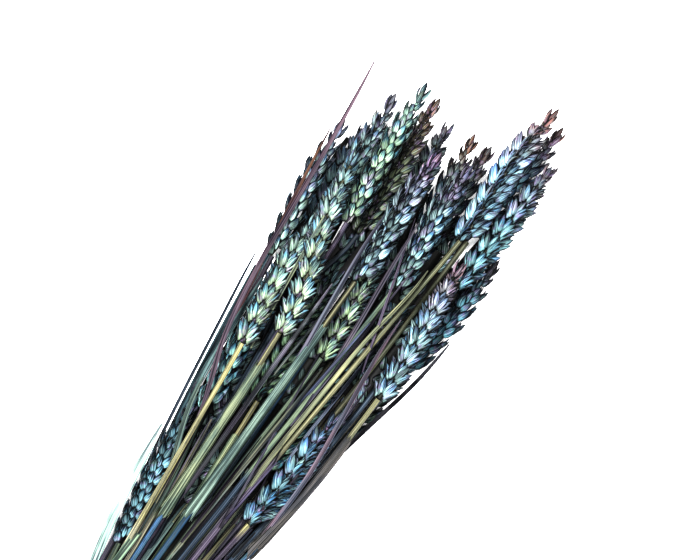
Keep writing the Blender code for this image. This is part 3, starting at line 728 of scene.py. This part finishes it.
for i, ear in enumerate(EARS):
    path, first, last = paths[i], strands[i].ear_start, strands[i].end
    body, feet_tint, crown = EAR_TINTS[i]
    length = (point_at(path, last) - point_at(path, first)).length
    count = int((length - EAR_FOOT - SPIKELET_LENGTH) / SPIKELET_PITCH) + 1
    pitch = (length - EAR_FOOT - SPIKELET_LENGTH) / (count - 1)
    bm = new_sheaf()
    stops = []
    for level in range(count + 1):
        along = EAR_FOOT + level * pitch
        sway = Matrix.Translation((0.0, 0.5 if level % 2 else -0.5, 0.0))
        half = 1.0 - 0.4 * level / count
        stops.append(set_at(path, first + along / length * (last - first), ear.turn + 90.0) @ sway @
                     widened(half, 0.55 * half))
    sweep(bm, new_ring(bm, AXIS_SIDES), [set_at(path, first) @ widened(0.9, 0.9)] + stops)
    close_ends(bm)
    # The axis is painted dark: painted shade, as it lies deep between the spikelets.
    stain(bm, bm.verts, tint(40, 44, 38), tint(66, 66, 50), (0.5, 0.5, i))
    for level in range(count):
        along = EAR_FOOT + level * pitch
        share = along / length
        size = ear_radius(min(1.0, share + 0.6 * SPIKELET_LENGTH / length)) / EAR_RADIUS
        side = 90.0 if level % 2 else 270.0
        spot = set_at(path, first + share * (last - first), ear.turn + side)
        ripe = min(1.0, max(0.0, (share - 0.45) / 0.4))
        dye_now = [a + (b - a) * ripe for a, b in zip(body, crown)]
        wash_now = [a + (b - a) * 0.7 * ripe for a, b in zip(feet_tint, crown)]
        for husk in SPIKELET:
            add_husk(bm, spot, husk, size, dye_now, wash_now)
    spot = set_at(path, first + (EAR_FOOT + count * pitch - 1.5) / length * (last - first), ear.turn)
    for k in range(END_HUSKS):
        end_husk = Husk(foot=(0.0, 0.5, 0.7 * k), tilt=0.0, lean=9.0, roll=0.0, length=7.4, width=1.25)
        add_husk(bm, spot @ turned(140.0 * k, "Z"), end_husk, 0.9, crown, crown)
    set_down(f"wheat_ear_{i + 1:02d}", bm, husk_finish, "scales", f"ear_{i + 1:02d}")

# Sheaths: the foot of a leaf wraps its stem like a loose tube of ribbed, papery skin. Pulled from the
# joint that it grew on, it ends ragged below, and the dyed straw comes out of it.

sheath_finish, shader, start = new_finish("papery_sheath", 0.3)
grain, dye, wash = read_stain(start)
ribs = grain.stretch(6.0, 6.0, 0.01).noise(1.0, 2.0, 0.5)
patches = grain.stretch(0.8, 0.8, 0.06).noise(1.0, 3.0, 0.6)
colour = patches.between(0.40, 0.62).mix(dye, wash)
colour = ribs.between(0.42, 0.55).mix(colour, (0.20, 0.24, 0.23, 1.0), "MULTIPLY")
colour.deepen(1.1).feed(shader, "Base Color")
(0.55 + ribs * 0.2).feed(shader, "Roughness")
roughen(start, shader, ribs, 0.9, 0.0004)

SHEATH_SIDES = 16
SHEATH_WALL = 0.12
SHEATH_STEP = 4.0
SHEATH_END = 8.0  # over which it narrows to the straw at its upper end
FLARE, FLARE_LENGTH = 0.35, 24.0
RAG = 3.5  # how unevenly a sheath's lower end is torn
SHEATH_TINTS = {4: ((134, 148, 140), (100, 116, 114)), 5: ((134, 140, 120), (104, 116, 106)),
                19: ((156, 160, 134), (124, 136, 120)), 10: ((138, 142, 122), (110, 118, 112)),
                2: ((104, 100, 98), (80, 80, 84))}
for i, (first, last) in SHEATHS.items():
    bm = new_sheaf()
    stops = list(np.arange(first, last + SHEATH_END, SHEATH_STEP))
    frames = []
    for x in stops:
        flare = max(0.0, 1.0 - (x - first) / FLARE_LENGTH)
        half = SHEATH_RADIUS * (1.0 - 0.22 * max(0.0, (x - last) / SHEATH_END)) * rng.uniform(0.92, 1.0)
        wide, high = half * (1.0 + FLARE * flare), half * (0.97 - 0.1 * flare)
        frames.append(set_at(paths[i], x) @ widened(wide, high))
    rings = sweep(bm, new_ring(bm, SHEATH_SIDES), frames)
    tints = [tint(*colour) for colour in SHEATH_TINTS[i]]
    for x, ring in zip(stops, rings):
        stain_ring(bm, ring, *tints, x + 300.0 * i)
    for ring, rag in ((rings[0], RAG), (rings[-1], 0.5 * RAG)):
        for v in ring:
            v.co.x += rng.uniform(-rag, rag)
    bmesh.ops.recalc_face_normals(bm, faces=bm.faces)
    bmesh.ops.solidify(bm, geom=bm.faces[:], thickness=SHEATH_WALL)
    set_down(f"sheath_{i + 1:02d}", bm, sheath_finish, "straw", f"stem_{i + 1:02d}")

# Leaves: long dry blades, folded along the midrib and curled by drying, that grow from the stems.

leaf_finish, shader, start = new_finish("dry_leaf", 0.2)
grain, dye, wash = read_stain(start)
veins = grain.stretch(3.2, 1.0, 0.015).noise(1.0, 3.0, 0.6)
blotch = grain.stretch(0.3, 0.3, 0.05).noise(1.0, 3.0, 0.6)
colour = blotch.between(0.40, 0.62).mix(dye, wash)
colour = veins.between(0.44, 0.56).mix(colour, (0.26, 0.26, 0.30, 1.0), "MULTIPLY")
colour.deepen(1.15).feed(shader, "Base Color")
(0.45 + veins * 0.25).feed(shader, "Roughness")
roughen(start, shader, veins, 0.6, 0.0003)

LEAF_STEP = 5.0
LEAF_SIDES = 8
LEAF_THICKNESS = 0.16
LEAF_FOLD = 0.5
# Each blade's half width, its twist in degrees, and its two colours.
LEAVES = (
    (1.0, 25.0, (112, 98, 106), (92, 82, 92)),
    (0.75, -20.0, (112, 88, 74), (88, 68, 70)),
    (0.7, 30.0, (62, 70, 80), (48, 56, 64)),
    (1.0, -35.0, (106, 110, 118), (106, 104, 114)),
    (1.0, 40.0, (112, 104, 112), (94, 92, 100)),
    (1.0, -25.0, (106, 112, 122), (124, 110, 118)),
    (1.1, 20.0, (110, 122, 114), (92, 106, 102)),
    (1.0, -40.0, (150, 150, 124), (124, 128, 110)),
    (1.0, 35.0, (126, 128, 114), (100, 108, 106)),
    (1.0, -30.0, (114, 118, 120), (118, 114, 124)),
    (1.0, 45.0, (112, 108, 118), (94, 96, 106)),
    (0.9, -25.0, (72, 70, 76), (54, 56, 64)),
    (2.0, 8.0, (176, 190, 184), (142, 160, 154)),
)
for k, (blade, (most, twist, dye_now, wash_now)) in enumerate(zip(BLADES, LEAVES)):
    path = paths[len(EARS) + k]
    stops = list(np.arange(blade.root, blade.tip[0] - 2.0, LEAF_STEP)) + [blade.tip[0]]
    bm = new_sheaf()
    section = new_ring(bm, LEAF_SIDES)
    for v in section:
        v.co.y = LEAF_THICKNESS * v.co.y + LEAF_FOLD * abs(v.co.x)
    frames = []
    for x in stops:
        share = (x - blade.root) / (blade.tip[0] - blade.root)
        half = most * (1.0 - 0.7 * share ** 10) * min(1.0, 0.35 + 4.0 * share)
        frames.append(set_at(path, x, twist * share) @ widened(half, half))
    for x, ring in zip(stops, sweep(bm, section, frames)):
        stain_ring(bm, ring, tint(*dye_now), tint(*wash_now), x + 900.0 * k)
    close_ends(bm)
    set_down(f"leaf_{k + 1:02d}", bm, leaf_finish, "straw", f"stem_{blade.stalk + 1:02d}")

# Loose leaves: withered blades and torn strips, caught between the stems when the bunch was made up, among
# the upper stems; and near-black strips low in the bunch, which are painted shade. Each follows the gap
# between two neighbours, low in the bunch or among the upper stems.

STRIP_STEP = 6.0
STRIP_SIDES = 6
STRIP_THICKNESS = 0.12
STRIP_FOLD = 0.35
STRIP_TINTS = (tint(94, 90, 98), tint(70, 76, 86), tint(108, 110, 92), tint(50, 56, 60), tint(122, 120, 102),
               tint(76, 86, 84), tint(76, 68, 80), tint(40, 44, 48))


def room_at(i, x):
    """Half the width that a stalk covers at x."""
    strand = strands[i]
    if x < strand.ear_start:
        return STEM_RADIUS
    return ear_radius(min(1.0, (x - strand.ear_start) / (strand.end - strand.ear_start)))


def gaps_at(x, beyond):
    """The gaps between stalks that lie side by side at x and reach further: both stalks and both sides."""
    present = [i for i in range(len(EARS)) if strands[i].end > x + beyond]
    present.sort(key=lambda i: point_at(paths[i], x).y)
    for i, j in zip(present, present[1:]):
        yield i, j, point_at(paths[i], x).y + room_at(i, x), point_at(paths[j], x).y - room_at(j, x)


def dry_strip(bm, path, x0, end, half, turn, tints, most_twist=70.0):
    """One withered strip along a path, narrow at both ends."""
    stops = list(np.arange(x0, end - 2.0, STRIP_STEP)) + [end]
    section = new_ring(bm, STRIP_SIDES)
    for v in section:
        v.co.y = STRIP_THICKNESS * v.co.y + STRIP_FOLD * abs(v.co.x)
    twist = rng.uniform(-most_twist, most_twist)
    frames = []
    for x in stops:
        share = (x - x0) / (end - x0)
        wide = half * (0.2 + 0.8 * math.sin(math.pi * min(1.0, 0.12 + 0.85 * share)) ** 0.6)
        frames.append(set_at(path, x, turn + twist * share) @ widened(wide, wide))
    seed = rng.uniform(0.0, 9000.0)
    for x, ring in zip(stops, sweep(bm, section, frames)):
        stain_ring(bm, ring, *tints, x + seed)
    close_ends(bm)


def pick_tints(shade):
    """Two colours of withered leaf, darkened to a share."""
    return [[c * shade for c in colour] for colour in rng.sample(STRIP_TINTS, 2)]


# The low strips: near-black sheets in the gaps between neighbours, where the table would show through, that
# stand for the shade deep in the bunch: painted shade. They end before the tips of the ears, which stand
# free. A wide gap has two of them.
LOW_FIRST, LOW_LAST, LOW_STEP = 20.0, 278.0, 16.0
LOW_END = 288.0
# Painted shade: the low strips are darkened to near black.
LOW_SHADE = 0.06
LOW_HALF_WIDTHS = (2.3, 4.4)
for number, x0 in enumerate(np.arange(LOW_FIRST, LOW_LAST, LOW_STEP)):
    bm = new_sheaf()
    for i, j, low, high in gaps_at(x0, 6.0):
        gap = high - low
        reach = rng.uniform(20.0, 34.0)
        end = min(x0 + reach, LOW_END, strands[i].end - 4.0, strands[j].end - 4.0)
        half = min(LOW_HALF_WIDTHS[1], max(LOW_HALF_WIDTHS[0], 2.5 + 0.5 * gap))
        for share in (0.5,) if gap < 3.0 else (0.25, 0.75):
            if end > x0 + 2.0:
                path = (1.0 - share) * paths[i] + share * paths[j]
                path[:, 1] = 1.0 + rng.uniform(0.15, 0.7) * np.minimum(paths[i][:, 1], paths[j][:, 1])
                dry_strip(bm, path, x0 - reach, end, half, rng.uniform(-15.0, 15.0),
                          pick_tints(LOW_SHADE * rng.uniform(0.5, 1.3)), 20.0)
    set_down(f"low_shade_strips_{number + 1:02d}", bm, leaf_finish, "straw")

# Loose husks: shed by the ears that were pressed together, they lie on the near-black low strips of painted
# shade in the gaps.
LOOSE_FIRST, LOOSE_LAST, LOOSE_STEP = 118.0, 306.0, 3.0
LOOSE_PER_MM = 1.1
# Dark tints like those of the low ears: painted shade in the gaps.
LOOSE_TINTS = (tint(76, 96, 104), tint(112, 128, 122))
bm = new_sheaf()
for x in np.arange(LOOSE_FIRST, LOOSE_LAST, LOOSE_STEP):
    for i, j, low, high in gaps_at(x, 8.0):
        height = min(point_at(paths[i], x).z, point_at(paths[j], x).z)
        for k in range(int(max(0.0, high - low) * LOOSE_PER_MM + rng.random())):
            spot = Matrix.Translation((x + rng.uniform(0.0, LOOSE_STEP), rng.uniform(low - 1.0, high + 1.0),
                                       2.0 + rng.uniform(0.1, 0.8) * height))
            husk = Husk(foot=(0.0, 0.0, 0.0), tilt=rng.choice((-28.0, 28.0)), lean=rng.uniform(-8.0, 12.0),
                        roll=0.0, length=7.4, width=1.7)
            add_husk(bm, spot @ turned(90.0, "Y") @ turned(90.0, "Z"), husk, 1.0, *LOOSE_TINTS)
set_down("loose_husks", bm, husk_finish, "scales")

# The upper strips: thin, at random among the stems.
UPPER_STRIPS = 80
UPPER_FEET, UPPER_LENGTHS = (25.0, 190.0), (40.0, 130.0)
bm = new_sheaf()
for k in range(UPPER_STRIPS):
    x0 = rng.uniform(*UPPER_FEET)
    i = rng.randrange(len(EARS))
    if x0 > strands[i].ear_start - 10.0:
        x0 = rng.uniform(20.0, 90.0)
    here = point_at(paths[i], x0)
    others = [j for j in range(len(EARS)) if j != i and strands[j].ear_start > x0]
    near = min(others, key=lambda j: (point_at(paths[j], x0) - here).length)
    end = min(x0 + rng.uniform(*UPPER_LENGTHS), strands[i].ear_start, strands[near].ear_start)
    if end > x0 + 12.0:
        path = 0.5 * (paths[i] + paths[near])
        dry_strip(bm, path, x0, end, rng.uniform(0.5, 1.5), rng.uniform(-50.0, 50.0),
                  pick_tints(rng.uniform(0.6, 1.1)))
set_down("upper_strips", bm, leaf_finish, "straw")


# The draped leaves: fine ones that lie across the top of the bunch, from one stalk to another.
LOWEST_DRAPE = 2.0
DRAPE_LIFT = 0.5
FIRM_SHARE = 0.85  # a leaf sinks among the tips of the husks


def top_of_bunch(x, across):
    """The height of the highest stalk over a place, or a low one where none lies."""
    tops = [LOWEST_DRAPE]
    for i in range(len(EARS)):
        if strands[i].start < x < strands[i].end:
            spot, room = point_at(paths[i], x), room_at(i, x) * FIRM_SHARE
            beside = abs(spot.y + across)
            if beside < room:
                tops.append(spot.z + math.sqrt(room ** 2 - beside ** 2))
    return max(tops)


# Each one's ends as (along, across), half its width, and its two colours.
DRAPES = (
    ((168, 17), (236, 21), 0.95, (110, 116, 126), (90, 96, 108)),
    ((200, -30), (266, -33), 0.55, (70, 78, 78), (54, 60, 66)),
    ((196, -21), (256, -27), 0.85, (138, 144, 124), (112, 122, 116)),
    ((214, 21), (276, 3), 0.7, (116, 108, 120), (98, 94, 108)),
    ((150, 4), (232, 12), 0.8, (98, 106, 124), (82, 86, 102)),
    ((140, 10), (216, 2), 0.7, (106, 104, 112), (88, 88, 98)),
    ((120, 14), (196, 10), 0.9, (90, 84, 96), (70, 70, 80)),
    ((110, 20), (170, 24), 0.8, (80, 74, 84), (64, 62, 72)),
    ((95, 6), (165, 14), 0.7, (94, 88, 108), (70, 68, 84)),
    ((90, 16), (150, 8), 0.8, (76, 72, 80), (56, 56, 64)),
    ((120, -6), (200, -2), 0.7, (146, 150, 128), (118, 126, 118)),
    ((84, -16), (154, -14), 2.0, (142, 158, 138), (114, 132, 118)),
    ((84, -7), (138, -6), 1.3, (122, 138, 132), (98, 114, 114)),
    ((90, 2), (150, 5), 1.0, (84, 90, 104), (64, 68, 82)),
    ((196, -35), (247, -38), 1.5, (96, 116, 122), (74, 92, 100)),
    ((148, -28), (224, -39), 1.7, (86, 106, 108), (66, 84, 90)),
    ((165, -29), (232, -37), 1.5, (112, 130, 128), (88, 104, 106)),
    ((172, -31), (222, -33), 1.4, (104, 120, 118), (84, 100, 102)),
    ((104, 22), (172, 12), 0.6, (84, 80, 90), (64, 64, 72)),
    ((128, 0), (190, 8), 0.6, (110, 118, 128), (84, 92, 104)),
    ((180, 10), (262, 14), 0.6, (112, 108, 118), (92, 92, 102)),
    ((176, -8), (244, -4), 0.65, (124, 130, 120), (98, 106, 106)),
)
bm = new_sheaf()
for (x0, across_0), (end, across_1), half, dye_now, wash_now in DRAPES:
    share = np.clip((STATIONS - x0) / (end - x0), -0.5, 1.5)
    across = across_0 + (across_1 - across_0) * share
    path = np.stack([-across, [top_of_bunch(x, a) + DRAPE_LIFT for x, a in zip(STATIONS, across)]], axis=1)
    tints = (tint(*dye_now), tint(*wash_now))
    dry_strip(bm, path, float(x0), float(end), half, rng.uniform(-15.0, 15.0), tints)
set_down("draped_leaves", bm, leaf_finish, "straw")

# Tie: three turns of raffia, a flat dry palm leaf strip with pleats along it, wound side by side and
# knotted on top, with two short ends. It isn't in the photo, which stops above it.

raffia, shader, start = new_finish("raffia")
grain, dye, wash = read_stain(start)
fibres = grain.stretch(9.0, 3.0, 0.04).noise(1.0, 3.0, 0.6)
patches = grain.stretch(0.5, 0.5, 0.08).noise(1.0, 2.0, 0.5)
colour = patches.between(0.38, 0.64).mix(dye, wash)
colour = (fibres.between(0.42, 0.62) * 0.7).mix(colour, (0.52, 0.42, 0.30, 1.0), "MULTIPLY")
colour.feed(shader, "Base Color")
(0.5 + fibres * 0.25).feed(shader, "Roughness")
roughen(start, shader, fibres, 0.9, 0.0005)

RAFFIA_TINTS = (tint(206, 180, 130), tint(178, 150, 104))
TURN_HALF_WIDTH = 1.72
TURN_HALF_THICKNESS = 0.5
TURN_PITCH = 10.0 / 3.0
TURN_POINTS = 56
PLEATS = 5
ALONG = Vector((1.0, 0.0, 0.0))


def pleated_section(bm):
    """The cross-section of a strip of raffia: flat, with pleats on its outer side."""
    section = new_ring(bm, 4 * PLEATS)
    for v in section:
        pleat = 0.16 * math.cos(PLEATS * math.pi * v.co.x) if v.co.y > 0.0 else 0.0
        v.co.y = v.co.y * 0.75 + pleat
    return section


def stain_raffia(bm, rings, seed):
    """Colours a strip of raffia, ring by ring, with its fibres along it."""
    for n, ring in enumerate(rings):
        stain_ring(bm, ring, *RAFFIA_TINTS, 4.0 * n + seed)


# The line that the raffia takes round the stems, evenly divided, and its outward way at each point.
reach = STEM_RADIUS + TIE_GAP + 0.6 * TIE_THICKNESS
cloud = []
for y, z in sum(TIE_PLACES, []):
    for k in range(TURN_POINTS):
        a = 2.0 * math.pi * k / TURN_POINTS
        cloud.append(Vector((y + reach * math.cos(a), z + reach * math.sin(a))))
closed = [cloud[k] for k in convex_hull_2d(cloud)]
closed.append(closed[0])
walked = np.cumsum([0.0] + [(b - a).length for a, b in zip(closed, closed[1:])])
marks = np.linspace(0.0, walked[-1], TURN_POINTS, endpoint=False)
ys, zs = (np.interp(marks, walked, [p[k] for p in closed]) for k in (0, 1))
line = [Vector((0.0, y, z)) for y, z in zip(ys, zs)]
outwards = []
for k, p in enumerate(line):
    ahead = line[(k + 1) % TURN_POINTS] - line[k - 1]
    out = Vector((0.0, ahead.z, -ahead.y)).normalized()
    outwards.append(out if out.dot(p - Vector((0.0, 0.0, TIE_MIDDLE))) > 0.0 else -out)

bm = new_sheaf()
for turn in (-1, 0, 1):
    section = pleated_section(bm)
    frames = []
    for p, out in zip(line, outwards):
        spot = p + ALONG * (turn * TURN_PITCH + rng.uniform(-0.12, 0.12)) + out * rng.uniform(-0.06, 0.06)
        place = stand_at(ALONG, out, ALONG.cross(out), spot)
        half = TURN_HALF_WIDTH * rng.uniform(0.94, 1.0)
        frames.append(place @ widened(half, TURN_HALF_THICKNESS))
    rings = sweep(bm, section, frames)
    ends = [e for ring in (rings[0], rings[-1]) for v in ring for e in v.link_edges if e.is_boundary]
    bmesh.ops.bridge_loops(bm, edges=list(dict.fromkeys(ends)))
    stain_raffia(bm, rings, 90.0 * turn)

# The knot is two humps crossed over each other, and its two ends run out of it and down.
KNOT_MIDDLE = Vector((0.0, 2.0, max(p.z for p in line) + TURN_HALF_THICKNESS + 1.3))
KNOT_REACH, KNOT_STEPS = 3.6, 10
TAIL_REACH, TAIL_STEPS, TAIL_ARCH = 14.0, 14, 2.4
HUMPS = {0.5: 0.0, -0.75: 0.5}  # the angle of each to straight across, and how high it lies


def across_at(lean):
    """The way across the bunch at an angle, and the way to its side."""
    return Vector((math.sin(lean), math.cos(lean), 0.0)), Vector((math.cos(lean), -math.sin(lean), 0.0))


for lean, rise in HUMPS.items():
    section = pleated_section(bm)
    way, side = across_at(lean)
    hump = []
    for n in range(KNOT_STEPS + 1):
        share = n / KNOT_STEPS * 2.0 - 1.0
        ahead = (way + Vector((0.0, 0.0, -0.9 * share))).normalized()
        place = stand_at(side, ahead.cross(side), ahead, KNOT_MIDDLE + way * KNOT_REACH * share)
        place.translation.z += 0.9 - 2.0 * share ** 2 + rise
        hump.append(place @ widened(1.9 - 0.5 * share ** 2, 0.75))
    stain_raffia(bm, sweep(bm, section, hump), 40.0 * lean)
for lean in reversed(HUMPS):
    section = pleated_section(bm)
    way, side = across_at(lean)
    tail = []
    for n in range(TAIL_STEPS + 1):
        share = n / TAIL_STEPS
        ahead = (way + Vector((0.0, 0.0, 0.45 * math.cos(TAIL_ARCH * share)))).normalized()
        place = stand_at(side, ahead.cross(side), ahead, KNOT_MIDDLE + way * TAIL_REACH * share)
        place.translation.z += 2.6 * math.sin(TAIL_ARCH * share) - 0.2
        tail.append(place @ Matrix.Rotation(0.5 * share, 4, "Z") @ widened(1.0 + 0.6 * share, 0.35))
    stain_raffia(bm, sweep(bm, section, tail), 70.0 * lean)
close_ends(bm)
set_down("raffia_tie", bm, raffia, "raffia", "tie")

# The table, the light and the camera: a pale table, soft light from the upper left, and a camera that
# looks straight down on the bunch, as the photo does.

TABLE_HALF = 3.0  # in metres
bm = bmesh.new()
bmesh.ops.create_grid(bm, x_segments=1, y_segments=1, size=TABLE_HALF)
floor_mesh = bpy.data.meshes.new("floor")
bm.to_mesh(floor_mesh)
bm.free()
floor = add_to_scene("floor", floor_mesh)
floor_finish, shader, start = new_finish("pale_table", 0.2)
for socket, value in (("Base Color", (0.92, 0.92, 0.92, 1.0)), ("Emission Color", (1.0, 1.0, 1.0, 1.0)),
                      ("Emission Strength", 0.3), ("Roughness", 0.9)):
    shader.inputs[socket].default_value = value
floor_mesh.materials.append(floor_finish)

# The photo's frame, 700 by 560 pixels, sees 280 by 224 mm of the bunch.
PHOTO_WIDTH = 700.0
PIXELS_PER_MM = 2.5
VIEW_MIDDLE = Vector((241.2, 4.2, 25.0))  # what the middle of the photo shows, in the bunch's lay
IMAGE_UP = Vector((0.816, 0.578, 0.0)).normalized()
CAMERA_HEIGHT = 1200.0
SENSOR = 36.0
camera_data = bpy.data.cameras.new("camera")
camera_data.sensor_width = SENSOR
camera_data.lens = SENSOR * CAMERA_HEIGHT / (PHOTO_WIDTH / PIXELS_PER_MM)
camera = add_to_scene("camera", camera_data)
backward = Vector((0.0, 0.0, 1.0))
image_right = IMAGE_UP.cross(backward)
spot = (VIEW_MIDDLE + LAY + backward * CAMERA_HEIGHT) * MM
camera.matrix_world = stand_at(image_right, IMAGE_UP, backward, spot)
bpy.context.scene.camera = camera

world = bpy.data.worlds.new("studio")
world.use_nodes = True
background = world.node_tree.nodes["Background"]
background.inputs["Color"].default_value = (1.0, 1.0, 1.0, 1.0)
background.inputs["Strength"].default_value = 0.07
bpy.context.scene.world = world
tones = bpy.context.scene.view_settings
tones.view_transform = "Standard"
tones.exposure = 0.98
tones.gamma = 0.65

# Square soft lamps that shine down on the middle of the view: how far up and right in the image each
# stands, as shares of its height over it, and its power in watts.
LAMPS = {"key": (0.14, -0.20, 35.0), "second": (0.12, 0.10, 10.0), "third": (-0.14, 0.02, 10.0)}
LAMP_DISTANCE, LAMP_SIZE = 1.6, 0.2
for name, (up, right, power) in LAMPS.items():
    data = bpy.data.lights.new(name, "AREA")
    data.shape = "SQUARE"
    data.size = LAMP_SIZE
    data.energy = power
    lamp = add_to_scene(name, data)
    direction = (IMAGE_UP * up + image_right * right + backward).normalized()
    lamp.location = (VIEW_MIDDLE + LAY) * MM + direction * LAMP_DISTANCE
    lamp.rotation_euler = direction.to_track_quat("Z", "Y").to_euler()
